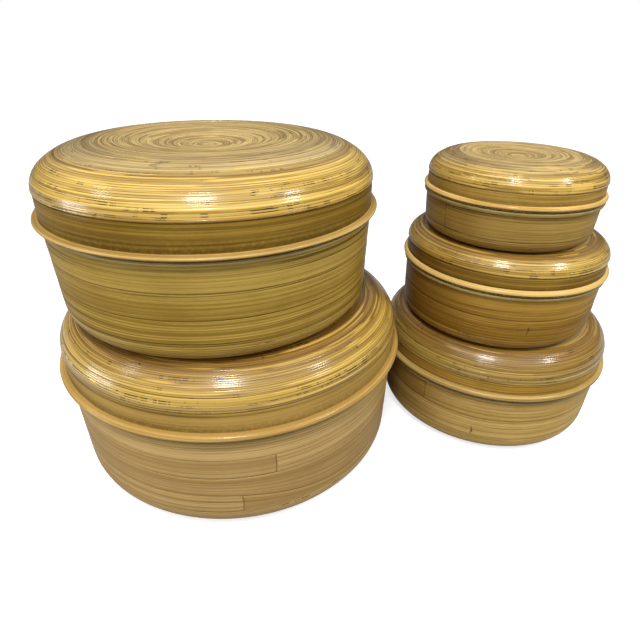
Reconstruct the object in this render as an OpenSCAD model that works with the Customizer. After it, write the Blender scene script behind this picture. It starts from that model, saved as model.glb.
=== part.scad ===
// A graded set of five round lidded boxes of spun bamboo, standing as two stacks.
// Thin strips are wound on edge into floors, corners and lids, and wide strips are
// bent into hoops for the upright walls. Every closed box fits inside the next
// larger one. The origin is on the table, under the middle of the whole set.

/* [Box 1, largest, left stack below] */
// Diameter over the lid's rim bead
box1_d = 380; // [376:1:384]
// Height of the base, floor to rim
box1_base_h = 123.5; // [118:0.5:150]
// Height of the lid's upright side
box1_side_h = 29.5; // [22:0.5:34]
// Height of the half-round bead round the lid's mouth
box1_bead_h = 8.5; // [6:0.5:12]
// Height of the lid's rounded shoulder
box1_shoulder_h = 32; // [24:1:40]
// Diameter of the crown disc inside the shoulder
box1_crown_d = 278; // [240:2:300]
// Depth of the crown's dished middle
box1_dish = 5; // [1:0.5:8]
// Radius of the corner between floor and wall
box1_corner_r = 27; // [14:1:30]
// Number of strip hoops in the wall
box1_courses = 4; // [1:1:5]

/* [Box 2, left stack above] */
// Diameter over the lid's rim bead
box2_d = 330; // [318:1:338]
// Height of the base, floor to rim
box2_base_h = 97; // [84:1:104]
// Height of the lid's upright side
box2_side_h = 29; // [22:1:30]
// Height of the half-round bead round the lid's mouth
box2_bead_h = 5.5; // [4:0.5:10]
// Height of the lid's rounded shoulder
box2_shoulder_h = 34; // [24:1:36]
// Diameter of the crown disc inside the shoulder
box2_crown_d = 196; // [180:2:260]
// Depth of the crown's dished middle
box2_dish = 8; // [1:0.5:10]
// Radius of the corner between floor and wall
box2_corner_r = 20; // [12:1:26]
// Number of strip hoops in the wall
box2_courses = 3; // [1:1:4]

/* [Box 3, right stack below] */
// Diameter over the lid's rim bead
box3_d = 278; // [270:1:280]
// Height of the base, floor to rim
box3_base_h = 82; // [70:1:88]
// Height of the lid's upright side
box3_side_h = 22; // [19:1:26]
// Height of the half-round bead round the lid's mouth
box3_bead_h = 8.5; // [5:0.5:9]
// Height of the lid's rounded shoulder
box3_shoulder_h = 30.5; // [20:0.5:32]
// Diameter of the crown disc inside the shoulder
box3_crown_d = 216; // [160:2:220]
// Depth of the crown's dished middle
box3_dish = 3.5; // [1:0.5:6]
// Radius of the corner between floor and wall
box3_corner_r = 24; // [12:1:25]
// Number of strip hoops in the wall
box3_courses = 2; // [1:1:3]

/* [Box 4, right stack middle] */
// Diameter over the lid's rim bead
box4_d = 231; // [224:1:236]
// Height of the base, floor to rim
box4_base_h = 68; // [56:1:72]
// Height of the lid's upright side
box4_side_h = 21; // [17:1:22]
// Height of the half-round bead round the lid's mouth
box4_bead_h = 7.5; // [4:0.5:8]
// Height of the lid's rounded shoulder
box4_shoulder_h = 18; // [14:1:22]
// Diameter of the crown disc inside the shoulder
box4_crown_d = 176; // [140:2:184]
// Depth of the crown's dished middle
box4_dish = 3; // [1:0.5:5]
// Radius of the corner between floor and wall
box4_corner_r = 15; // [10:1:20]
// Number of strip hoops in the wall
box4_courses = 2; // [1:1:3]

/* [Box 5, smallest, right stack above] */
// Diameter over the lid's rim bead
box5_d = 190; // [182:1:194]
// Height of the base, floor to rim
box5_base_h = 44; // [38:1:50]
// Height of the lid's upright side
box5_side_h = 17.5; // [15:0.5:20]
// Height of the half-round bead round the lid's mouth
box5_bead_h = 6; // [4:0.5:7]
// Height of the lid's rounded shoulder
box5_shoulder_h = 21; // [14:1:24]
// Diameter of the crown disc inside the shoulder
box5_crown_d = 124; // [110:2:150]
// Depth of the crown's dished middle
box5_dish = 3.5; // [1:0.5:5]
// Radius of the corner between floor and wall
box5_corner_r = 13; // [10:1:16]
// Number of strip hoops in the wall
box5_courses = 1; // [1:1:2]

/* [Strips and hoops] */
// Thickness of a base's wall and corner
wall_t = 5.5; // [5:0.5:7]
// Thickness of a lid's side, shoulder and crown
lid_t = 4.5; // [3.5:0.5:4.5]
// Thickness of a floor disc
floor_t = 5; // [4:0.5:7]
// Thickness of the collar hoop inside the rim
collar_t = 2.5; // [2:0.5:4]
// Height of the pale hoop under the lid
neck_h = 4; // [3:0.5:5]
// How far the neck hoop stands out from the wall
neck_lip = 2.5; // [1:0.5:3]
// How far the shoulder stands proud of the side, and the cut on sharp corners
lip = 0.8; // [0.4:0.2:1.2]
// Lift of a resting piece off the piece below it
rest_gap = 0.3; // [0.2:0.1:0.5]

/* [Layout] */
// Distance between the two stacks, left to right
stacks_dx = 322.8; // [322:0.1:340]
// How much further back the small stack stands
stacks_dy = 61.5; // [58:0.5:80]
// How far box 2 stands to the right of box 1's middle
box2_dx = -10.8; // [-14:0.1:14]
// How far box 2 stands behind box 1's middle
box2_dy = -6.7; // [-14:0.1:14]
// How far box 4 stands to the right of box 3's middle
box4_dx = -7.7; // [-10:0.1:10]
// How far box 4 stands behind box 3's middle
box4_dy = -8.6; // [-10:0.1:10]
// How far box 5 stands to the right of box 4's middle
box5_dx = -7; // [-8:0.1:8]
// How far box 5 stands behind box 4's middle
box5_dy = -9; // [-9:0.1:9]

/* [Hidden] */
BOXES = 5;
DIA = [box1_d, box2_d, box3_d, box4_d, box5_d];
BASE_H = [box1_base_h, box2_base_h, box3_base_h, box4_base_h, box5_base_h];
SIDE_H = [box1_side_h, box2_side_h, box3_side_h, box4_side_h, box5_side_h];
BEAD_H = [box1_bead_h, box2_bead_h, box3_bead_h, box4_bead_h, box5_bead_h];
SHOULDER_H = [box1_shoulder_h, box2_shoulder_h, box3_shoulder_h, box4_shoulder_h, box5_shoulder_h];
CROWN_D = [box1_crown_d, box2_crown_d, box3_crown_d, box4_crown_d, box5_crown_d];
DISH = [box1_dish, box2_dish, box3_dish, box4_dish, box5_dish];
CORNER_R = [box1_corner_r, box2_corner_r, box3_corner_r, box4_corner_r, box5_corner_r];
COURSES = [box1_courses, box2_courses, box3_courses, box4_courses, box5_courses];

PIECES = [
    "floor_coil", "corner_coil", "neck_ring", "collar",
    "lid_rim_bead", "lid_band", "lid_shoulder", "lid_crown",
];

// Outline factors, as parts of the radius over the rim bead
side_k = 0.962;
wall_foot_k = 0.945;
// The collar reaches this far below and above the rim
collar_down_k = 0.11;
collar_up_k = 0.06;
// Steps along a rounded profile, and the facets of a preview circle
arc_steps = 10;
crown_steps = 12;
$fn = 96;

function bead_r(i) = DIA[i - 1] / 2;
function side_r(i) = side_k * bead_r(i);
function foot_r(i) = wall_foot_k * bead_r(i);
function base_h(i) = BASE_H[i - 1];
function corner_r(i) = CORNER_R[i - 1];
function crown_r(i) = CROWN_D[i - 1] / 2;
function bead_h(i) = BEAD_H[i - 1];
function lid_h(i) = SIDE_H[i - 1] + SHOULDER_H[i - 1];
function box_h(i) = base_h(i) + rest_gap + lid_h(i);

// The wall is a plain cone from the corner up to the rim
function wall_r(i, z) =
    foot_r(i) + (side_r(i) - foot_r(i)) * (z - corner_r(i)) / (base_h(i) - corner_r(i));
function course_z(i, k) =
    corner_r(i) + k * (base_h(i) - neck_h - corner_r(i)) / COURSES[i - 1];

// Middle of the whole set's outline, with box 1's axis at zero
left_x = -bead_r(1);
right_x = max(bead_r(1), stacks_dx + bead_r(3));
front_y = min(-bead_r(1), stacks_dy - bead_r(3));
back_y = max(bead_r(1), stacks_dy + bead_r(3));
box1_at = [-(left_x + right_x) / 2, -(front_y + back_y) / 2, 0];
box2_at = box1_at + [box2_dx, box2_dy, box_h(1) + rest_gap];
box3_at = box1_at + [stacks_dx, stacks_dy, 0];
box4_at = box3_at + [box4_dx, box4_dy, box_h(3) + rest_gap];
box5_at = box4_at + [box5_dx, box5_dy, box_h(4) + rest_gap];
BOX_AT = [box1_at, box2_at, box3_at, box4_at, box5_at];

function arc(cr, cz, rr, rz, from, to) = [
    for (s = [0:arc_steps])
        let (a = from + (to - from) * s / arc_steps)
            [cr + rr * cos(a), cz + rz * sin(a)]
];
function reversed(list) = [for (s = [len(list) - 1:-1:0]) list[s]];

module base_hoop(i) {
    translate(BOX_AT[i - 1]) rotate_extrude() children();
}

module lid_hoop(i) {
    translate(BOX_AT[i - 1] + [0, 0, base_h(i) + rest_gap]) rotate_extrude() children();
}

// Wound disc, flat on the table or on the lid below
module floor_coil(i) {
    color("#b08d45")
        translate(BOX_AT[i - 1]) cylinder(r = foot_r(i) - corner_r(i), h = floor_t);
}

// Coil that turns the floor up into the wall
module corner_coil(i) {
    r = corner_r(i);
    outer = arc(foot_r(i) - r, r, r, r, -90, 0);
    inner = arc(foot_r(i) - r, r, r - wall_t, r - floor_t, 0, -90);
    color("#a5803a") base_hoop(i) polygon(concat(outer, inner));
}

// One wide strip bent into a hoop; hoop 1 is the lowest
module wall_course(i, k) {
    low = course_z(i, k - 1);
    high = course_z(i, k);
    color("#c2a35c") base_hoop(i) polygon([
        [wall_r(i, low), low],
        [wall_r(i, high), high],
        [wall_r(i, high) - wall_t, high],
        [wall_r(i, low) - wall_t, low],
    ]);
}

// Thin pale hoop on the wall's upper edge, which carries the lid
module neck_ring(i) {
    low = base_h(i) - neck_h;
    inner = wall_r(i, low) - wall_t;
    outer = side_r(i) + neck_lip;
    color("#d8bf82") base_hoop(i) polygon([
        [inner, low],
        [outer - lip, low],
        [outer, low + lip],
        [outer, base_h(i) - lip],
        [outer - lip, base_h(i)],
        [inner, base_h(i)],
    ]);
}

// Hoop glued inside the rim, standing up to keep the lid in place
module collar(i) {
    foot_z = base_h(i) - neck_h - collar_down_k * bead_r(i);
    low = max(foot_z, corner_r(i));
    seat = base_h(i) - neck_h;
    top = base_h(i) + collar_up_k * bead_r(i);
    r_low = wall_r(i, low) - wall_t;
    r_top = wall_r(i, seat) - wall_t;
    color("#b7934b") base_hoop(i) polygon([
        [r_low, low],
        [r_top, seat],
        [r_top, top - lip],
        [r_top - lip, top],
        [r_top - collar_t, top],
        [r_low - collar_t, low],
    ]);
}

// Half-round hoop round the lid's mouth
module lid_rim_bead(i) {
    h = bead_h(i);
    depth = bead_r(i) - side_r(i);
    color("#cf9f4c") lid_hoop(i) polygon(arc(side_r(i), h / 2, depth, h / 2, -90, 90));
}

// Upright side of the lid
module lid_band(i) {
    color("#93742f") lid_hoop(i)
        translate([side_r(i) - lid_t, 0]) square([lid_t, SIDE_H[i - 1]]);
}

// Coil that rounds the side over into the top
module lid_shoulder(i) {
    z = SIDE_H[i - 1];
    rise = SHOULDER_H[i - 1];
    run = side_r(i) - crown_r(i);
    outer = arc(crown_r(i), z, run + lip, rise, 0, 90);
    inner = arc(crown_r(i), z, run - lid_t, rise - lid_t, 90, 0);
    color("#c8963c") lid_hoop(i) polygon(concat(outer, inner));
}

// Wound disc in the top, a little lower in the middle so that the next box sits on its edge
module lid_crown(i) {
    r = crown_r(i);
    z = lid_h(i);
    top = [
        for (s = [0:crown_steps])
            let (q = s / crown_steps)
                [r * q, z - DISH[i - 1] * (1 + cos(180 * q)) / 2]
    ];
    underside = [for (p = reversed(top)) p - [0, lid_t]];
    color("#ab8a52") lid_hoop(i) polygon(concat(top, underside));
}

for (i = [1:BOXES]) {
    floor_coil(i);
    corner_coil(i);
    for (k = [1:COURSES[i - 1]])
        wall_course(i, k);
    neck_ring(i);
    collar(i);
    lid_rim_bead(i);
    lid_band(i);
    lid_shoulder(i);
    lid_crown(i);
}
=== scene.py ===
"""Looks of a set of five round lidded boxes in coiled and bent bamboo, lacquered.

Every piece is turned from its own outline in mesh code. Thin strips are wound on
edge with a groove between neighbours, and wide strips are bent into hoops with
worn edges, butt joints and a slightly uneven wall.
"""
import math

import bpy
import numpy as np
from mathutils import Matrix, Vector


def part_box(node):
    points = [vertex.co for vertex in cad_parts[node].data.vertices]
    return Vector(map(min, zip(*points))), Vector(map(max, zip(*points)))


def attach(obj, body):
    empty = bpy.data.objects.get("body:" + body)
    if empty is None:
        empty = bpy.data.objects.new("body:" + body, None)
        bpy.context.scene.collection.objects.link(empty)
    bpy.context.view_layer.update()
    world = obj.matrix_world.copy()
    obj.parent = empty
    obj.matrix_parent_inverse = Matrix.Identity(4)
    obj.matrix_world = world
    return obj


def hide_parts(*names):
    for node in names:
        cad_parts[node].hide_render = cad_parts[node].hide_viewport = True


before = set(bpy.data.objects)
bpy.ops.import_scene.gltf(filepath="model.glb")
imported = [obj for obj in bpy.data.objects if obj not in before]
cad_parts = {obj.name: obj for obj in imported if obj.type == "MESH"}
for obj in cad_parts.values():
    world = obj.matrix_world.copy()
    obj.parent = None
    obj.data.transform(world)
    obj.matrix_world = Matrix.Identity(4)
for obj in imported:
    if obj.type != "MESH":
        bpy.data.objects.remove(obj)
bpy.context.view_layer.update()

MM = 0.001
BOXES = 5
FULL = 2 * math.pi
# Stock, in metres, as the boxes' solids have it
LID_THICK = 4.5 * MM
WALL_THICK = 5.5 * MM
COLLAR_THICK = 2.5 * MM
LIP = 0.8 * MM
# Corners of the stock are eased by this much along each face
EASED = 0.45 * MM
ARC_POINTS = 40
# Points round a piece: the most for the glossy shoulder, the fewest for floor and collar
COLUMNS = 176
SHOULDER_COLUMNS = 208
CROWN_COLUMNS = 168
INNER_COLUMNS = 144
# Mean widths of the thin strips as a coil's or a disc's face shows them
SHOULDER_STRIP = 2.1 * MM
CROWN_STRIP = 1.9 * MM
CORNER_STRIP = 2.4 * MM
FLOOR_STRIP = 2.9 * MM
INNER_STRIP = 3 * MM
INNER_GROOVE = 0.25 * MM
# A face's strips are numbered this far on from those of the face before it
FACE_STEP = 40
# Uneven strips are drawn for this many, and then repeat
STRIPS_DRAWN = 400


# ---------------------------------------------------------------- shader maths


class Tone:
    """A number, colour or vector that varies over a surface."""

    def __init__(self, tree, socket):
        self.tree = tree
        self.socket = socket

    def node(self, kind, settings=None, sockets=None, out=0):
        """Any node: its settings first, then the values or links of its sockets."""
        made = self.tree.nodes.new(kind)
        for key, value in (settings or {}).items():
            setattr(made, key, value)
        for key, value in (sockets or {}).items():
            target = made.inputs[key] if isinstance(key, int) else named(made.inputs, key)
            if isinstance(value, Tone):
                self.tree.links.new(value.socket, target)
            else:
                target.default_value = value
        if not made.outputs:
            return None
        result = made.outputs[out] if isinstance(out, int) else named(made.outputs, out)
        return Tone(self.tree, result)

    def maths(self, operation, *values):
        return self.node("ShaderNodeMath", {"operation": operation}, dict(enumerate(values)))

    def __add__(self, other):
        return self.maths("ADD", self, other)

    def __sub__(self, other):
        return self.maths("SUBTRACT", self, other)

    def __rsub__(self, other):
        return self.maths("SUBTRACT", other, self)

    def __mul__(self, other):
        return self.maths("MULTIPLY", self, other)

    def __truediv__(self, other):
        return self.maths("DIVIDE", self, other)

    __radd__ = __add__
    __rmul__ = __mul__

    def ramped(self, start, end):
        """0 below start, 1 above end, eased between."""
        sockets = {"Value": self, "From Min": start, "From Max": end}
        return self.node("ShaderNodeMapRange", {"interpolation_type": "SMOOTHSTEP"}, sockets)

    def mixed(self, low, high):
        """low where this is 0 and high where it is 1, both of them colours."""
        sockets = {"Factor_Float": self, "A_Color": low, "B_Color": high}
        settings = {"data_type": "RGBA", "clamp_factor": True}
        return self.node("ShaderNodeMix", settings, sockets, "Result_Color")

    def length(self):
        """The length of a vector."""
        return self.node("ShaderNodeVectorMath", {"operation": "LENGTH"}, {0: self}, "Value")

    def vector(self, operation, *values):
        settings = {"operation": operation}
        return self.node("ShaderNodeVectorMath", settings, dict(enumerate(values)))


def named(sockets, key):
    return next(s for s in sockets if key in (s.identifier, s.name))


def srgb(red, green, blue):
    """A colour given in sRGB steps from 0 to 255, made linear."""
    parts = [c / 255 for c in (red, green, blue)]
    return tuple(c / 12.92 if c <= 0.04045 else ((c + 0.055) / 1.055) ** 2.4 for c in parts) + (1,)


# Near black, for dashes, chips, sooty joints and cracks, and for the painted shade on the bead and
# the lid band
SOOT_AND_SHADE_TONE = srgb(28, 22, 8)
TEA = srgb(128, 92, 50)
# A deep brown, the tone of the painted shade on the boxes' left sides
LEFT_SHADE_TONE = srgb(88, 54, 10)
# How much of a strip's deep tone is left in the groove beside it, and in a fine line on it
GROOVE_TONE = 0.14
LINE_TONE = 0.32


def tinted(colour, red, green, blue):
    return (colour[0] * red, colour[1] * green, colour[2] * blue, 1)


def shaded(colour, gain):
    return tinted(colour, gain, gain, gain)


def blank_material(name):
    material = bpy.data.materials.new(name)
    material.use_nodes = True
    tree = material.node_tree
    tree.nodes.clear()
    return material, tree


# Nearer to the axis than this, the direction round it fades out
CALM = 60 * MM


class Strips:
    """Coordinates on bamboo stock: round the box, across the strips, and which strip."""

    def __init__(self, tree, seed):
        start = Tone(tree, None)
        self.seed = seed
        self.place = self.attribute(start, "from_axis", "Vector")
        level = self.place.vector("MULTIPLY", self.place, (1, 1, 0))
        # Without the fade the noise would swirl in the middle of a disc
        reach = level.length() / CALM
        reach = reach.maths("MINIMUM", reach, 1.0)
        unit = level.vector("NORMALIZE", level)
        fade = reach.node("ShaderNodeCombineXYZ", None, {"X": reach, "Y": reach, "Z": reach})
        self.around = unit.vector("MULTIPLY", unit, fade)
        self.left = 0 - unit.node("ShaderNodeSeparateXYZ", None, {"Vector": unit}, 0)
        self.height = self.place.node("ShaderNodeSeparateXYZ", None, {"Vector": self.place}, 2)
        self.turn = self.attribute(start, "turn", "Fac")
        self.across = self.attribute(start, "across", "Fac")
        self.strip = self.attribute(start, "strip", "Fac")
        self.soot_and_shade = self.attribute(start, "soot_and_shade", "Fac")
        self.index = self.turn.maths("FLOOR", self.turn) + self.strip * 17 + seed
        self.within = self.turn.maths("FRACT", self.turn)

    def attribute(self, start, name, out):
        return start.node("ShaderNodeAttribute", {"attribute_name": name}, None, out)

    def noise(self, laps, depth, detail=2, shift=0.0, rough=0.5):
        """Noise stretched round the box: laps sets its pace round, depth is its third side."""
        sockets = {"X": 3.1 * shift, "Y": 5.7 * shift + self.seed, "Z": depth}
        offset = self.turn.node("ShaderNodeCombineXYZ", None, sockets)
        wide = self.around.vector("MULTIPLY", self.around, (laps, laps, laps))
        sockets = {
            "Vector": wide.vector("ADD", wide, offset), "Scale": 1.0,
            "Detail": detail, "Roughness": rough,
        }
        return self.turn.node("ShaderNodeTexNoise", {"noise_dimensions": "3D"}, sockets, "Fac")

    def strand(self, pace, shift=0.0):
        """One number for each thin strand, pace strands to the metre, wandering a little."""
        drift = (self.noise(0.8, self.across * 40, shift=20 + shift) - 0.5) * 5
        count = self.across * pace + drift
        key = count.maths("FLOOR", count) + self.index * 31 + shift
        return key.node("ShaderNodeTexWhiteNoise", {"noise_dimensions": "1D"}, {"W": key}, 0)

    def painted_left_shade(self, colour, amount):
        """Painted shade: the tone deepens to a dark brown towards the box's left side, where less
        light reaches it.
        """
        side = self.left + (self.noise(1.5, self.height * 8, shift=14) - 0.5) * 0.5
        return (side.ramped(0.3, 1.0) * amount).mixed(colour, LEFT_SHADE_TONE)

    def random(self):
        """One number from 0 to 1 for each strip."""
        settings = {"noise_dimensions": "1D"}
        return self.turn.node("ShaderNodeTexWhiteNoise", settings, {"W": self.index}, 0)


def finish_surface(colour, height, rough, gloss, relief, shine):
    """Lacquer over the wood: the colour, a fine relief and a clear coat."""
    sockets = {"Height": height, "Strength": 0.6, "Distance": relief}
    normal = colour.node("ShaderNodeBump", None, sockets)
    sockets = {
        "Base Color": colour, "Roughness": rough, "Normal": normal, "IOR": 1.4,
        "Specular IOR Level": shine, "Coat Weight": gloss, "Coat Roughness": 0.16,
        "Coat IOR": 1.45,
    }
    surface = colour.node("ShaderNodeBsdfPrincipled", None, sockets)
    colour.node("ShaderNodeOutputMaterial", None, {"Surface": surface})


def coiled_bamboo(name, seed, pale, deep, streaky, seams, dashes, gloss, contrast=1.0,
                  inward=None, painted_left_shade=0.0):
    """Thin strips wound on edge: a tone for each, tea-coloured streaks, dark broken seams.

    inward is (pale, deep, start, end): the tones it turns to between two distances in, which on a
    lid that stands under another box are painted shade. The left-shade argument paints shade on
    the box's left side."""
    material, tree = blank_material(name)
    s = Strips(tree, seed)
    band = s.noise(0.5, s.turn * 0.2, detail=2, shift=1)
    pair = s.noise(0.5, s.turn * 0.55, detail=3, shift=2, rough=0.6)
    each = s.noise(0.6, s.index * 7.31, detail=2, shift=3)
    fibre = s.noise(7, s.turn * 4.3, detail=2, shift=4, rough=0.6)
    strand = s.strand(560) - 0.5
    tone = (band - 0.5) * 0.7 + (pair - 0.5) * 0.7 + (each - 0.5) * 2.0 + (fibre - 0.5) * 0.5
    tone = tone + strand * 0.5
    tone = (0.58 + tone * contrast).ramped(-0.1, 1.1)
    colour = tone.mixed(deep, pale)
    if inward:
        edge_of = s.across + (band - 0.5) * 6 * MM
        inner = edge_of.ramped(inward[2], inward[3])
        colour = inner.mixed(colour, tone.mixed(inward[1], inward[0]))

    crowd = s.noise(0.55, s.turn * 0.3, detail=2, shift=5).ramped(0.4, 0.6)
    thin = s.noise(0.6, s.index * 5.17, detail=2, shift=6) + crowd * 0.035
    colour = (thin.ramped(0.585, 0.61) * streaky * 0.7).mixed(colour, TEA)
    line = s.strand(950, 3).ramped(0.78, 0.9) * (0.35 + crowd * 0.65)
    colour = (line * streaky).mixed(colour, tinted(deep, 0.55, 0.5, 0.42))
    bright = s.noise(0.9, s.index * 3.71, detail=2, shift=11).ramped(0.58, 0.62)
    colour = (bright * 0.5 * contrast).mixed(colour, tinted(pale, 1.25, 1.2, 1.1))

    # Painted shade on the box's left side
    if painted_left_shade:
        colour = s.painted_left_shade(colour, painted_left_shade)

    edge = s.turn.maths("MINIMUM", s.within, 1 - s.within)
    near = 1 - edge.ramped(0.0, 0.24)
    worn = s.noise(2.0, s.index * 3.3, detail=3, shift=7).ramped(0.42, 0.58)
    seam = near * (0.15 + worn * 0.85) * seams
    colour = seam.mixed(colour, shaded(deep, GROOVE_TONE))

    broken = s.noise(9, s.index * 2.9, detail=4, shift=8, rough=0.8).ramped(0.51, 0.55)
    lowest = 1 - s.turn.ramped(1, 9)
    where = s.noise(2.2, s.index * 4.4, detail=1, shift=9) + lowest * 0.09
    where = where.ramped(0.8 - dashes * 0.2, 0.83 - dashes * 0.2)
    dash = broken * where * (1 - edge.ramped(0.14, 0.34))
    chip = s.noise(26, s.turn * 0.6, detail=2, shift=10).ramped(0.75, 0.775) * 0.85
    sooty = dash.maths("MAXIMUM", dash, chip)
    sooty = sooty.maths("MAXIMUM", sooty, s.soot_and_shade)
    colour = sooty.mixed(colour, SOOT_AND_SHADE_TONE)

    height = fibre * 0.3 - near * 0.4 - sooty * 0.8 + each * 0.3
    rough = 0.3 + (fibre - 0.5) * 0.14 + seam * 0.25 + (band - 0.5) * 0.12
    finish_surface(colour, height, rough, gloss, 0.2 * MM, shine=0.25)
    return material


def wide_bamboo(name, seed, pale, deep, lines=0.3, seams=0.5, gloss=0.05,
                edge_wear_and_shade_width=0.05, rising=None, painted_left_shade=0.0):
    """A wide bent strip: long fibres, soft bands, fine dark lines and rubbed edges, whose
    darkening, where it runs wide as on the bead and the neck, is painted shade.

    rising is (low, high, amount): two heights between which the tone lightens."""
    material, tree = blank_material(name)
    s = Strips(tree, seed)
    band = s.noise(0.35, s.across * 90, detail=2, shift=1)
    blotch = s.noise(2.2, s.across * 22, detail=3, shift=2)
    ribbon = s.noise(0.25, s.across * 500, detail=2, shift=3, rough=0.6)
    strand = s.strand(800) - 0.5
    fibre = s.noise(2, s.across * 1900, detail=2, shift=4)
    pores = s.noise(34, s.across * 900, detail=2, shift=5)
    tone = (s.random() - 0.5) * 0.7 + (band - 0.5) * 1.1 + (blotch - 0.5) * 0.9
    tone = tone + (ribbon - 0.5) * (0.7 + lines) + (fibre - 0.5) * 0.8 + (pores - 0.5) * 0.3
    tone = tone + strand * (0.16 + lines * 0.75)
    if rising:
        tone = tone + (s.height.ramped(rising[0], rising[1]) - 0.5) * rising[2]
    colour = (0.5 + tone).ramped(-0.1, 1.1).mixed(deep, pale)

    kept = s.noise(1.2, s.across * 70, detail=2, shift=7).ramped(0.38, 0.6)
    drawn = s.strand(900, 3).ramped(0.78, 0.9) * (0.25 + kept * 0.75)
    colour = (drawn * lines).mixed(colour, shaded(deep, LINE_TONE))

    # Painted shade on the box's left side
    if painted_left_shade:
        colour = s.painted_left_shade(colour, painted_left_shade)

    edge = s.turn.maths("MINIMUM", s.within, 1 - s.within)
    near = 1 - edge.ramped(0.005, edge_wear_and_shade_width)
    worn = s.noise(3, s.across * 60, detail=3, shift=8).ramped(0.36, 0.62)
    # Dark edges along each strip: rubbed joints, and painted shade where the dark edge runs wide,
    # as on the bead and the neck
    seam = near * (0.3 + worn * 0.7) * seams
    colour = seam.mixed(colour, shaded(deep, GROOVE_TONE))
    patchiness = s.noise(60, s.across * 300, detail=2, shift=9).ramped(0.3, 0.55)
    # Darker at sooty joints and cracks, and painted shade low on the lid band and on the bead,
    # each piece giving its own amount
    colour = (s.soot_and_shade * (0.35 + patchiness * 0.65)).mixed(colour, SOOT_AND_SHADE_TONE)

    height = fibre * 0.3 - drawn * lines * 0.6 + pores * 0.25 - near * 0.4 - s.soot_and_shade
    rough = 0.34 + (blotch - 0.5) * 0.16 + drawn * lines * 0.15
    finish_surface(colour, height, rough, gloss, 0.16 * MM, shine=0.06)
    return material


# ---------------------------------------------------------------- mesh making


def face(path, pitch=None, groove=0.0, bulge=0.0, stations=2, open_ends=(False, False), seed=1):
    """One face of an outline, walked with the wood on its left.

    With a pitch it is wound from thin strips, uneven ones, with a groove between them.
    Its corners are eased, but not at an end that is open."""
    path = np.array(path, float)
    steps = np.hypot(*np.diff(path, axis=0).T)
    along = np.concatenate([[0], np.cumsum(steps)])
    first = 0 if open_ends[0] else EASED
    last = along[-1] - (0 if open_ends[1] else EASED)
    if pitch:
        count = max(1, round((last - first) / pitch))
        wide = np.random.default_rng(seed).uniform(0.6, 1.4, count)
        edges = first + np.concatenate([[0], np.cumsum(wide)]) * (last - first) / wide.sum()
        flats = [(k + part) for k in range(count) for part in (0, 0.2, 0.8)] + [count]
        turn = np.array(flats, float)
        at = np.interp(turn, np.arange(count + 1), edges)
        sink = np.where(np.isclose(turn % 1, 0), groove, 0.0)
        sink[0] = sink[-1] = 0 if groove == 0 else groove * 0.4
    else:
        share = np.linspace(0, 1, stations)
        at = first + share * (last - first)
        turn = 0.01 + share * 0.98
        sink = -bulge * np.sin(share * math.pi)

    def point(distance):
        return np.stack([np.interp(distance, along, path[:, c]) for c in (0, 1)], 1)

    step = along[-1] * 1e-3
    ahead = point(np.minimum(at + step, along[-1])) - point(np.maximum(at - step, 0))
    ahead /= np.hypot(*ahead.T)[:, None]
    outward = np.stack([ahead[:, 1], -ahead[:, 0]], 1)
    return {"at": point(at), "outward": outward, "turn": turn, "sink": sink, "across": at}


def ellipse(centre_r, centre_z, run, rise, start, end):
    angle = np.radians(np.linspace(start, end, ARC_POINTS))
    return np.stack([centre_r + run * np.cos(angle), centre_z + rise * np.sin(angle)], 1)


def even_angles(count):
    return np.linspace(-math.pi, math.pi, count, endpoint=False)


def uneven(seed, amount):
    """Strips that stand a little proud or shy, differently round the box."""
    draw = np.random.default_rng(seed)
    level = draw.uniform(-1, 1, STRIPS_DRAWN)
    swing = draw.uniform(0.2, 0.7, STRIPS_DRAWN)
    lobes = draw.integers(1, 4, STRIPS_DRAWN)
    phase = draw.uniform(0, FULL, STRIPS_DRAWN)

    def lift(turn, angle):
        k = np.floor(turn).astype(int) % STRIPS_DRAWN
        return amount * (level[k] + swing[k] * np.sin(lobes[k] * angle + phase[k])) / 1.7

    return lift


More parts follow.
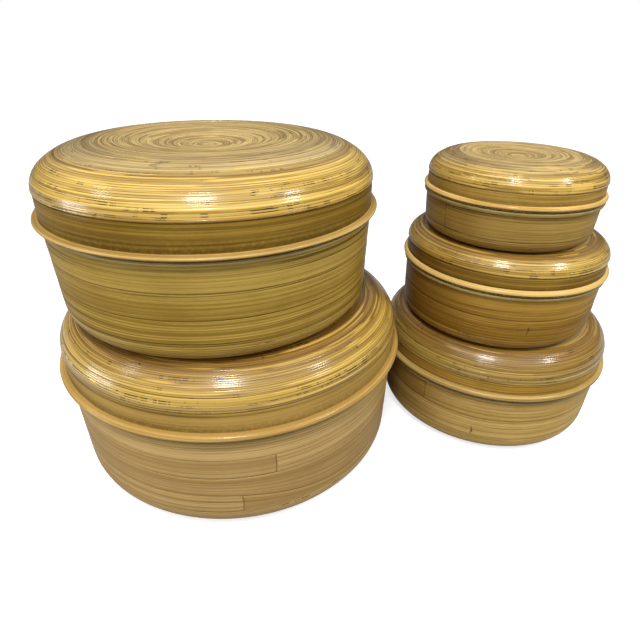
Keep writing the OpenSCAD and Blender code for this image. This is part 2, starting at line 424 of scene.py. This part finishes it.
def turned(name, faces, at, angles=None, lift=None, shape=None, strips=None, soot_and_shade=None):
    """A closed solid turned round the axis at, from the faces of its outline.

    lift moves a point out from its face, shape moves it freely, strips says which strip of a
    jointed hoop it is on, and the last how dark a point is made: sooty joints and cracks, and
    painted shade on the bead and the lid band."""
    angles = even_angles(COLUMNS) if angles is None else angles
    rows = {key: np.concatenate([f[key] for f in faces]) for key in faces[0]}
    rows["turn"] = np.concatenate([f["turn"] + FACE_STEP * n for n, f in enumerate(faces)])
    turn, angle = np.meshgrid(rows["turn"], angles, indexing="ij")
    out = -rows["sink"][:, None] + (lift(turn, angle) if lift else 0 * turn)
    radius = rows["at"][:, 0][:, None] + rows["outward"][:, 0][:, None] * out
    height = rows["at"][:, 1][:, None] + rows["outward"][:, 1][:, None] * out
    if shape:
        radius, height = shape(radius, height, angle)
    strip = strips(angle) if strips else 0 * turn
    soot_and_shade_grid = soot_and_shade(angle, turn) if soot_and_shade else 0 * turn

    count = len(angles)
    poles = rows["at"][:, 0] < 1e-9
    keep, start = [], []
    total = 0
    for pole in poles:
        start.append(total)
        keep.append(np.arange(count) if not pole else np.array([0]))
        total += len(keep[-1])
    local = np.concatenate([
        np.stack([radius[j, k] * np.sin(angle[j, k]), -radius[j, k] * np.cos(angle[j, k]),
                  height[j, k]], 1)
        for j, k in enumerate(keep)
    ])
    local[[s for s, pole in zip(start, poles) if pole], :2] = 0
    quads = []
    here = np.arange(count)
    after = (here + 1) % count
    closed = not poles[0]
    for j in range(len(poles) - (0 if closed else 1)):
        n = (j + 1) % len(poles)
        low, high = start[j], start[n]
        if poles[j]:
            corners = [np.full(count, low), high + after, high + here]
        elif poles[n]:
            corners = [low + here, low + after, np.full(count, high)]
        else:
            corners = [low + here, low + after, high + after, high + here]
        quads += np.stack(corners, 1).tolist()
    mesh = bpy.data.meshes.new(name)
    mesh.from_pydata((local + np.array(at)).tolist(), [], quads)
    across = np.broadcast_to(rows["across"][:, None], turn.shape)
    fields = {"turn": turn, "across": across, "strip": strip, "soot_and_shade": soot_and_shade_grid}
    layers = [("from_axis", "FLOAT_VECTOR", local)]
    for key, grid in fields.items():
        layers.append((key, "FLOAT", np.concatenate([grid[j, k] for j, k in enumerate(keep)])))
    for key, kind, values in layers:
        layer = mesh.attributes.new(key, kind, "POINT")
        field = "vector" if kind == "FLOAT_VECTOR" else "value"
        layer.data.foreach_set(field, np.asarray(values, np.float32).ravel())
    mesh.polygons.foreach_set("use_smooth", [True] * len(mesh.polygons))
    mesh.set_sharp_from_angle(angle=math.radians(50))
    piece = bpy.data.objects.new(name, mesh)
    bpy.context.scene.collection.objects.link(piece)
    return piece


def fitted(piece, body, node, material):
    """Gives the piece its finish and lets it stand for a node of the set."""
    piece.data.materials.append(material)
    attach(piece, body)
    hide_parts(node)
    return piece


# ---------------------------------------------------------------- the boxes


class Sizes:
    """What one box measures, taken from its solids, in metres from its own underside."""

    def __init__(self, number):
        self.number = number
        low, high = self.span("floor_coil")
        self.at = (low + high) / 2
        self.at.z = low.z
        self.floor_r = (high.x - low.x) / 2
        self.floor_t = high.z - low.z
        low, high = self.span("corner_coil")
        self.foot_r = (high.x - low.x) / 2
        self.corner_r = high.z - low.z
        low, high = self.span("neck_ring")
        self.neck_low = low.z - self.at.z
        self.base_h = high.z - self.at.z
        self.neck_r = (high.x - low.x) / 2
        low, high = self.span("collar")
        self.collar_low = low.z - self.at.z
        self.collar_top = high.z - self.at.z
        low, high = self.span("lid_rim_bead")
        self.bead_r = (high.x - low.x) / 2
        self.bead_h = high.z - low.z
        self.lid_z = low.z - self.at.z
        low, high = self.span("lid_band")
        self.side_r = (high.x - low.x) / 2
        self.side_h = high.z - low.z
        low, high = self.span("lid_shoulder")
        self.lid_h = high.z - self.at.z - self.lid_z
        low, high = self.span("lid_crown")
        self.crown_r = (high.x - low.x) / 2
        self.dish = high.z - low.z - LID_THICK
        self.courses = sum(f"box{number}_wall_course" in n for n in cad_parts)

    def span(self, node):
        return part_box(f"box{self.number}_{node}")

    def wall_r(self, z):
        share = (z - self.corner_r) / (self.base_h - self.corner_r)
        return self.foot_r + (self.side_r - self.foot_r) * share

    def lid_at(self):
        return self.at + Vector((0, 0, self.lid_z))


def smooth(x, start, end):
    t = np.clip((x - start) / (end - start), 0, 1)
    return t * t * (3 - 2 * t)


def floor_piece(b, name):
    z, r = b.floor_t, b.floor_r
    faces = [
        face([(0, 0), (r, 0)], FLOOR_STRIP, groove=0.3 * MM, open_ends=(True, False)),
        face([(r, 0), (r, z)]),
        face([(r, z), (0, z)], FLOOR_STRIP, groove=0.3 * MM, open_ends=(False, True)),
    ]
    angles = even_angles(INNER_COLUMNS)
    return turned(name, faces, b.at, angles, uneven(b.number + 10, 0.05 * MM))


def corner_piece(b, name):
    r, c = b.corner_r, b.foot_r - b.corner_r
    outer = ellipse(c, r, r, r, -90, 0)
    inner = ellipse(c, r, r - WALL_THICK, r - b.floor_t, 0, -90)
    faces = [
        face(outer, CORNER_STRIP, groove=0.16 * MM, seed=b.number),
        face([outer[-1], inner[0]]),
        face(inner, INNER_STRIP, INNER_GROOVE),
        face([inner[-1], outer[0]]),
    ]
    return turned(name, faces, b.at, lift=uneven(b.number + 20, 0.1 * MM))


# Butt joints in the wall hoops, as degrees to the right of the front: box, hoop, place
JOINTS = {(1, 3): 19.5, (1, 1): 9.0, (3, 2): -47.0, (2, 1): 128.0, (1, 2): -150.0,
          (1, 4): 165.0, (4, 2): 170.0, (5, 1): -62.0, (3, 1): 140.0, (2, 2): -100.0,
          (2, 3): 150.0, (4, 1): -130.0}
# Cracks: box, hoop, degrees to the right, and where along the hoop's height
CRACKS = {(3, 1): (-20.0, 0.05, 0.46), (4, 1): (1.0, 0.3, 0.75)}


def close_angles(places, radius):
    """Columns spread evenly, with a few close ones at each joint or crack."""
    angles = even_angles(COLUMNS)
    for place in places:
        angles = angles[np.abs(angles - place) > 4 * MM / radius]
        near = np.array([-3.0, -1.4, -0.8, -0.35, 0, 0.35, 0.8, 1.4, 3.0]) * MM / radius
        angles = np.concatenate([angles, near + place])
    return np.sort(angles)


def course_piece(b, k, name):
    low, high = (corner.z - b.at.z for corner in b.span(f"wall_course{k}"))
    r_low, r_high = b.wall_r(low), b.wall_r(high)
    faces = [
        face([(r_low, low), (r_high, high)], bulge=0.16 * MM, stations=17),
        face([(r_high, high), (r_high - WALL_THICK, high)]),
        face([(r_high - WALL_THICK, high), (r_low - WALL_THICK, low)], stations=3),
        face([(r_low - WALL_THICK, low), (r_low, low)]),
    ]
    place = math.radians(JOINTS[(b.number, k)])
    crack = CRACKS.get((b.number, k))
    places = [place] + ([math.radians(crack[0])] if crack else [])
    rolling = uneven(b.number * 7 + k, 0.14 * MM)

    def cut(angle, at, wide):
        return np.exp(-(((angle - at) * b.side_r / wide) ** 2))

    def split(angle, turn):
        if not crack:
            return 0 * turn
        _, foot, tip = crack
        along = smooth(turn, foot, foot + 0.06) * (1 - smooth(turn, tip - 0.06, tip))
        return cut(angle + 0.004 * np.sin(turn * 20), places[1], 0.6 * MM) * along * (turn < 1)

    def lift(turn, angle):
        off = (angle - place) * b.side_r
        step = 0.16 * MM * (smooth(off, 0, 0.3 * MM) - smooth(off, 40 * MM, 160 * MM))
        moved = rolling(turn * 0 + k, angle) + step - 0.5 * MM * cut(angle, place, 0.4 * MM)
        return np.where(turn < 1, moved - 0.7 * MM * split(angle, turn), 0)

    def shape(radius, height, angle):
        if b.number != 1 or k > 2:
            return radius, height
        # The two lowest hoops meet on a line that falls away to the right of the front
        degrees = np.degrees(angle)
        fall = smooth(degrees, 0, 46) * (1 - smooth(degrees, 60, 110)) * 15 * MM
        near = smooth(height, low, high) if k == 1 else 1 - smooth(height, low, high)
        moved = height - fall * near
        return radius + (moved - height) * (r_high - r_low) / (high - low), moved

    def strips(angle):
        return (angle > place) * 1.0 + k * 3

    def soot_and_shade(angle, turn):
        seam = cut(angle + 0.002 * np.sin(turn * 9), place, 0.5 * MM) * 0.6 * (turn < 1)
        strength = 0.55 if b.number == 4 else 1.0
        return np.maximum(seam, np.clip(split(angle, turn) * 1.6, 0, 1) * strength)

    angles = close_angles(places, b.side_r)
    return turned(name, faces, b.at, angles, lift, shape, strips, soot_and_shade)


def neck_piece(b, name):
    low, top = b.neck_low, b.base_h
    inner, outer = b.wall_r(low) - WALL_THICK, b.neck_r
    faces = [
        face([(outer - LIP, low), (outer, low + LIP)]),
        face([(outer, low + LIP), (outer, top - LIP)], stations=3, bulge=0.05 * MM),
        face([(outer, top - LIP), (outer - LIP, top)]),
        face([(outer - LIP, top), (inner, top)], stations=3),
        face([(inner, top), (inner, low)], stations=3),
        face([(inner, low), (outer - LIP, low)]),
    ]
    for one in (0, 2):
        faces[one]["at"] = np.array([faces[one]["at"].mean(0)] * 2)
    return turned(name, faces, b.at, lift=uneven(b.number + 40, 0.05 * MM))


def collar_piece(b, name):
    low, seat, top = b.collar_low, b.neck_low, b.collar_top
    r_low, r_top = b.wall_r(low) - WALL_THICK, b.wall_r(seat) - WALL_THICK
    faces = [
        face([(r_low, low), (r_top, seat)], stations=4),
        face([(r_top, seat), (r_top, top - LIP)], stations=4, bulge=0.1 * MM),
        face([(r_top, top - LIP), (r_top - LIP, top)]),
        face([(r_top - LIP, top), (r_top - COLLAR_THICK, top)]),
        face([(r_top - COLLAR_THICK, top), (r_low - COLLAR_THICK, low)], stations=7),
        face([(r_low - COLLAR_THICK, low), (r_low, low)]),
    ]
    faces[2]["at"] = np.array([faces[2]["at"].mean(0)] * 2)
    return turned(name, faces, b.at, even_angles(INNER_COLUMNS))


def bead_piece(b, name):
    """Half-round, of a narrow strip below and a wider one above it."""
    depth, h = b.bead_r - b.side_r, b.bead_h
    outer = ellipse(b.side_r, h / 2, depth, h / 2, -90, 90)
    joint = 0.38  # how far up the face the two strips meet
    round_face = face(outer, stations=23, open_ends=(True, True))
    share = round_face["turn"]
    round_face["sink"] = 0.45 * MM * np.exp(-(((share - joint) / 0.035) ** 2))
    above = 1.01 + (share - joint) / (1 - joint) * 0.98
    round_face["turn"] = np.where(share < joint, share / joint * 0.98, above)
    faces = [round_face, face([outer[-1], outer[0]], stations=3)]

    # Painted shade on the narrow lower strip, darkened all round under the bead, and a dark line
    # at its joint with the wider strip above
    def soot_and_shade(angle, turn):
        return 0.62 * (turn < 1) + 0.35 * np.exp(-(((turn - 1) / 0.12) ** 2)) * (turn < 2)

    lift = uneven(b.number + 50, 0.1 * MM)
    return turned(name, faces, b.lid_at(), lift=lift, soot_and_shade=soot_and_shade)


def band_piece(b, name):
    r, h = b.side_r, b.side_h
    faces = [
        face([(r, 0), (r, h)], bulge=0.25 * MM, stations=9),
        face([(r, h), (r - LID_THICK, h)]),
        face([(r - LID_THICK, h), (r - LID_THICK, 0)], stations=4),
        face([(r - LID_THICK, 0), (r, 0)]),
    ]
    rolling = uneven(b.number + 60, 0.12 * MM)

    def lift(turn, angle):
        return np.where(turn < 1, rolling(turn * 0, angle), 0)

    # Painted shade: the band is darkened towards its foot, just above the bead
    def soot_and_shade(angle, turn):
        return 0.5 * (1 - smooth(turn, 0.1, 0.72)) * (turn < 1)

    return turned(name, faces, b.lid_at(), lift=lift, soot_and_shade=soot_and_shade)


def shoulder_piece(b, name):
    z, rise, run = b.side_h, b.lid_h - b.side_h, b.side_r - b.crown_r
    outer = ellipse(b.crown_r, z, run + LIP, rise, 0, 90)
    inner = ellipse(b.crown_r, z, run - LID_THICK, rise - LID_THICK, 90, 0)
    faces = [
        face(outer, SHOULDER_STRIP, groove=0.13 * MM, seed=b.number),
        face([outer[-1], inner[0]]),
        face(inner, INNER_STRIP, INNER_GROOVE),
        face([inner[-1], outer[0]]),
    ]
    angles = even_angles(SHOULDER_COLUMNS)
    return turned(name, faces, b.lid_at(), angles, uneven(b.number + 70, 0.14 * MM))


def crown_piece(b, name):
    r = b.crown_r
    part = np.linspace(0, 1, 60)
    sag = b.dish * (1 + np.cos(math.pi * part)) / 2
    top = np.stack([r * part, b.lid_h - sag], 1)
    under = top - [0, LID_THICK]
    faces = [
        face(under, INNER_STRIP, INNER_GROOVE, open_ends=(True, False)),
        face([under[-1], top[-1]]),
        face(top[::-1], CROWN_STRIP, groove=0.1 * MM, open_ends=(False, True), seed=b.number),
    ]
    draw = np.random.default_rng(b.number + 90)
    phases = draw.uniform(0, FULL, 5)

    def shape(radius, height, angle):
        """The winding wanders a little off centre, and the disc isn't quite flat."""
        share = np.clip(radius / r, 0, 1)
        room = share * (1 - smooth(share, 0.72, 0.98))
        wander = np.sin(angle + phases[0]) + 0.5 * np.sin(2 * angle + phases[1])
        wander = wander + 0.3 * np.sin(3 * angle + phases[2] + 4 * share)
        wave = np.sin(2 * angle + phases[3]) * np.sin(5 * share + phases[4])
        return radius + room * wander * 2.2 * MM, height + room * wave * 0.25 * MM

    lift = uneven(b.number + 80, 0.1 * MM)
    return turned(name, faces, b.lid_at(), even_angles(CROWN_COLUMNS), lift, shape)


# ---------------------------------------------------------------- finishes

# Pairs of tones are the pale and the deep one. The second pair is painted shade: the darker part
# of the shoulder next to the crown on a lid that stands under another box, where that box shades
# it.
CROWN = srgb(208, 182, 122), srgb(160, 130, 76)
BOX_ABOVE_SHADE = srgb(166, 128, 60), srgb(112, 79, 26)
SHOULDER = srgb(228, 192, 98), srgb(164, 124, 46)
BEAD = srgb(200, 168, 100), srgb(150, 118, 60)
NECK = srgb(206, 184, 122), srgb(150, 126, 68)
COLLAR = srgb(190, 142, 62), srgb(142, 112, 50)
# How each box differs. lines is how plainly fine lines show on its wall, rising how much paler the
# wall is at its rim than at its foot, and the left-shade entry how much painted shade darkens the
# box's left side, where less light reaches it, except on the unshaded part named beside it. bead
# and shoulder are gains on those tones, partly each box's own tone and partly painted light and
# shade for how much light reaches the box where it stands.
LOOKS = {
    1: {"wall": (srgb(214, 181, 118), srgb(166, 134, 80)),
        "side": (srgb(188, 154, 82), srgb(132, 102, 44)),
        "lines": 0.38, "rising": 0.35, "left_shade_amount": 0.3, "unshaded_part": "wall",
        "bead": 1.25, "shoulder": 0.86},
    2: {"wall": (srgb(196, 165, 84), srgb(141, 112, 40)),
        "side": (srgb(166, 133, 55), srgb(116, 88, 28)),
        "lines": 0.85, "rising": 0.7, "left_shade_amount": 0.1, "unshaded_part": "side",
        "bead": 1.1, "shoulder": 0.98},
    3: {"wall": (srgb(217, 185, 114), srgb(167, 132, 62)),
        "side": (srgb(210, 170, 82), srgb(154, 118, 46)),
        "lines": 0.38, "rising": 0.3, "left_shade_amount": 0.5, "unshaded_part": None,
        "bead": 0.95, "shoulder": 0.64},
    4: {"wall": (srgb(180, 141, 62), srgb(130, 94, 28)),
        "side": (srgb(164, 131, 56), srgb(116, 86, 28)),
        "lines": 0.6, "rising": 0.3, "left_shade_amount": 0.6, "unshaded_part": None,
        "bead": 1.3, "shoulder": 0.92},
    5: {"wall": (srgb(176, 144, 76), srgb(132, 103, 42)),
        "side": (srgb(202, 166, 84), srgb(144, 112, 48)),
        "lines": 0.38, "rising": 0.3, "left_shade_amount": 0.4, "unshaded_part": None,
        "bead": 1.6, "shoulder": 0.98},
}
# Boxes at the top of a stack, whose shoulders pale towards the crown
UNCOVERED = (2, 5)


def toned(pair, gain):
    return [shaded(colour, gain) for colour in pair]


def finishes(b):
    """The eight finishes of one box, by the record's material slots."""
    i = b.number
    n = f"box{i}_"
    look = LOOKS[i]
    # Painted shade on the left of the wall and of the lid's side, except on the unshaded part
    left_shade_amount = {part: 0 if part == look["unshaded_part"] else look["left_shade_amount"] for part in ("wall", "side")}
    # On a lid under another box the shoulder darkens towards the crown with painted shade from the
    # box above; on a lid at the top it pales to the crown's own tone
    inner = CROWN if i in UNCOVERED else BOX_ABOVE_SHADE
    # About the length of the shoulder's face, from the side in to the crown
    arc = math.hypot(b.side_r - b.crown_r, b.lid_h - b.side_h) * 1.1
    return {
        "crown_coil": coiled_bamboo(
            n + "crown_lacquer", 11 * i, *CROWN, streaky=0.8, seams=0.5, dashes=0.0,
            gloss=0.12, contrast=1.15),
        # The shoulder's gain is partly painted light and shade: lowest on box 3, which stands in
        # the shade of the boxes around it
        "shoulder_coil": coiled_bamboo(
            n + "shoulder_lacquer", 13 * i, *toned(SHOULDER, look["shoulder"]), streaky=0.65,
            seams=0.75, dashes=0.9, gloss=0.95, inward=inner + (arc * 0.36, arc * 0.66),
            # Half as much painted shade on the left of the shoulder
            painted_left_shade=look["left_shade_amount"] * 0.5),
        "lid_side_strip": wide_bamboo(
            n + "lid_side_lacquer", 17 * i, *look["side"], lines=0.5, seams=0.8,
            painted_left_shade=left_shade_amount["side"]),
        # Wide dark edges on the bead: painted shade under it and along its joint
        "rim_bead": wide_bamboo(
            n + "bead_lacquer", 19 * i, *toned(BEAD, look["bead"]), lines=0.6, seams=0.95,
            gloss=0.35, edge_wear_and_shade_width=0.16),
        # Wide dark edges on the neck ring: painted shade along its top and bottom edges
        "neck_strip": wide_bamboo(
            n + "neck_lacquer", 23 * i, *NECK, seams=0.95, gloss=0.2, edge_wear_and_shade_width=0.2),
        "wall_strip": wide_bamboo(
            n + "wall_lacquer", 29 * i, *look["wall"], lines=look["lines"],
            rising=(0.0, b.base_h, look["rising"]), painted_left_shade=left_shade_amount["wall"]),
        "base_coil": coiled_bamboo(
            n + "base_lacquer", 31 * i, tinted(look["wall"][0], 0.9, 0.88, 0.82),
            look["wall"][1], streaky=0.3, seams=0.6, dashes=0.6, gloss=0.1, contrast=0.7),
        "inner_hoop": wide_bamboo(n + "collar_lacquer", 37 * i, *COLLAR, seams=0.4),
    }


MADE = (
    ("floor_coil", "base", "base_coil", floor_piece),
    ("corner_coil", "base", "base_coil", corner_piece),
    ("neck_ring", "base", "neck_strip", neck_piece),
    ("collar", "base", "inner_hoop", collar_piece),
    ("lid_rim_bead", "lid", "rim_bead", bead_piece),
    ("lid_band", "lid", "lid_side_strip", band_piece),
    ("lid_shoulder", "lid", "shoulder_coil", shoulder_piece),
    ("lid_crown", "lid", "crown_coil", crown_piece),
)

boxes = [Sizes(i) for i in range(1, BOXES + 1)]
for b in boxes:
    of_slot = finishes(b)
    for part, half, slot, make in MADE:
        node = f"box{b.number}_{part}"
        piece = make(b, node + "_made")
        fitted(piece, f"box{b.number}_{half}", node, of_slot[slot])
    for k in range(1, b.courses + 1):
        node = f"box{b.number}_wall_course{k}"
        piece = course_piece(b, k, node + "_made")
        fitted(piece, f"box{b.number}_base", node, of_slot["wall_strip"])


# ---------------------------------------------------------------- floor, light, camera

FLOOR_HALF = 30.0
FLOOR_GLOW = 0.72
floor_mesh = bpy.data.meshes.new("studio_floor")
corners = [(x * FLOOR_HALF, y * FLOOR_HALF, 0) for x, y in ((-1, -1), (1, -1), (1, 1), (-1, 1))]
floor_mesh.from_pydata(corners, [], [(0, 1, 2, 3)])
studio_floor = bpy.data.objects.new("studio_floor", floor_mesh)
bpy.context.scene.collection.objects.link(studio_floor)
# The camera sees white paper that glows a little, and the lacquer mirrors a duller one
paper, paper_tree = blank_material("studio_paper")
start = Tone(paper_tree, None)
white = start.node("ShaderNodeBsdfDiffuse", None, {"Color": (0.62, 0.62, 0.62, 1)})
glow = start.node("ShaderNodeEmission", None, {"Color": (1, 1, 1, 1), "Strength": FLOOR_GLOW})
lit = start.node("ShaderNodeAddShader", None, {0: white, 1: glow})
dull = start.node("ShaderNodeBsdfDiffuse", None, {"Color": (0.42, 0.41, 0.4, 1)})
seen = start.node("ShaderNodeLightPath", None, None, "Is Camera Ray")
sheet = start.node("ShaderNodeMixShader", None, {0: seen, 1: dull, 2: lit})
start.node("ShaderNodeOutputMaterial", None, {"Surface": sheet})
floor_mesh.materials.append(paper)

world = bpy.data.worlds.new("studio")
bpy.context.scene.world = world
world.use_nodes = True
world.node_tree.nodes.clear()
start = Tone(world.node_tree, None)
direction = start.node("ShaderNodeTexCoord", None, None, "Generated")
up = direction.node("ShaderNodeSeparateXYZ", None, {"Vector": direction}, 2)
room = up.ramped(0.0, 0.8).mixed((0.08, 0.07, 0.06, 1), (0.33, 0.33, 0.33, 1))
seen = start.node("ShaderNodeLightPath", None, None, "Is Camera Ray")
backdrop = seen.mixed(room, (1, 1, 1, 1))
light = room.node("ShaderNodeBackground", None, {"Color": backdrop, "Strength": 1.0})
room.node("ShaderNodeOutputWorld", None, {"Surface": light})

AIM = Vector((0, 0, 0.2))


def soft_light(name, azimuth, elevation, distance, size, power):
    """A light panel turned to AIM; azimuth 0 is behind the set and 90 is to its right."""
    lamp = bpy.data.lights.new(name, "AREA")
    lamp.shape = "RECTANGLE"
    lamp.size, lamp.size_y = size
    lamp.energy = power
    a, e = math.radians(azimuth), math.radians(elevation)
    away = Vector((math.sin(a) * math.cos(e), math.cos(a) * math.cos(e), math.sin(e)))
    holder = bpy.data.objects.new(name, lamp)
    holder.location = AIM + away * distance
    holder.rotation_euler = away.to_track_quat("Z", "Y").to_euler()
    bpy.context.scene.collection.objects.link(holder)


soft_light("front_panel", 188, 60, 2.2, (0.42, 0.28), 28)
soft_light("right_panel", 110, 44, 2.2, (0.34, 0.24), 13)
soft_light("left_panel", -100, 42, 2.2, (0.34, 0.24), 3.3)
soft_light("low_panel", -104, 6, 2.4, (0.8, 0.4), 10)

sky_lamp = bpy.data.lights.new("ceiling_glow", "SUN")
sky_lamp.energy, sky_lamp.angle = 1.3, math.radians(80)
sky = bpy.data.objects.new("ceiling_glow", sky_lamp)
sky.rotation_euler = (math.radians(24), 0, 0)
bpy.context.scene.collection.objects.link(sky)

LENS = 27.56
SENSOR = 36.0
# The camera's place from the middle of box 1's underside, and how it is turned
FROM_BOX1 = Vector((0.0988, -0.4995, 0.4249))
DOWN = math.radians(29.6)
ROLL = math.radians(0.82)
shot = bpy.data.cameras.new("shot")
shot.lens, shot.sensor_width = LENS, SENSOR
shot.clip_start = 0.01
camera = bpy.data.objects.new("shot", shot)
box1 = boxes[0].at
camera.matrix_world = (
    Matrix.Translation(Vector((box1.x, box1.y, 0)) + FROM_BOX1)
    @ Matrix.Rotation(math.pi / 2 - DOWN, 4, "X")
    @ Matrix.Rotation(ROLL, 4, "Z")
)
bpy.context.scene.collection.objects.link(camera)
bpy.context.scene.camera = camera
bpy.context.scene.view_settings.view_transform = "Standard"
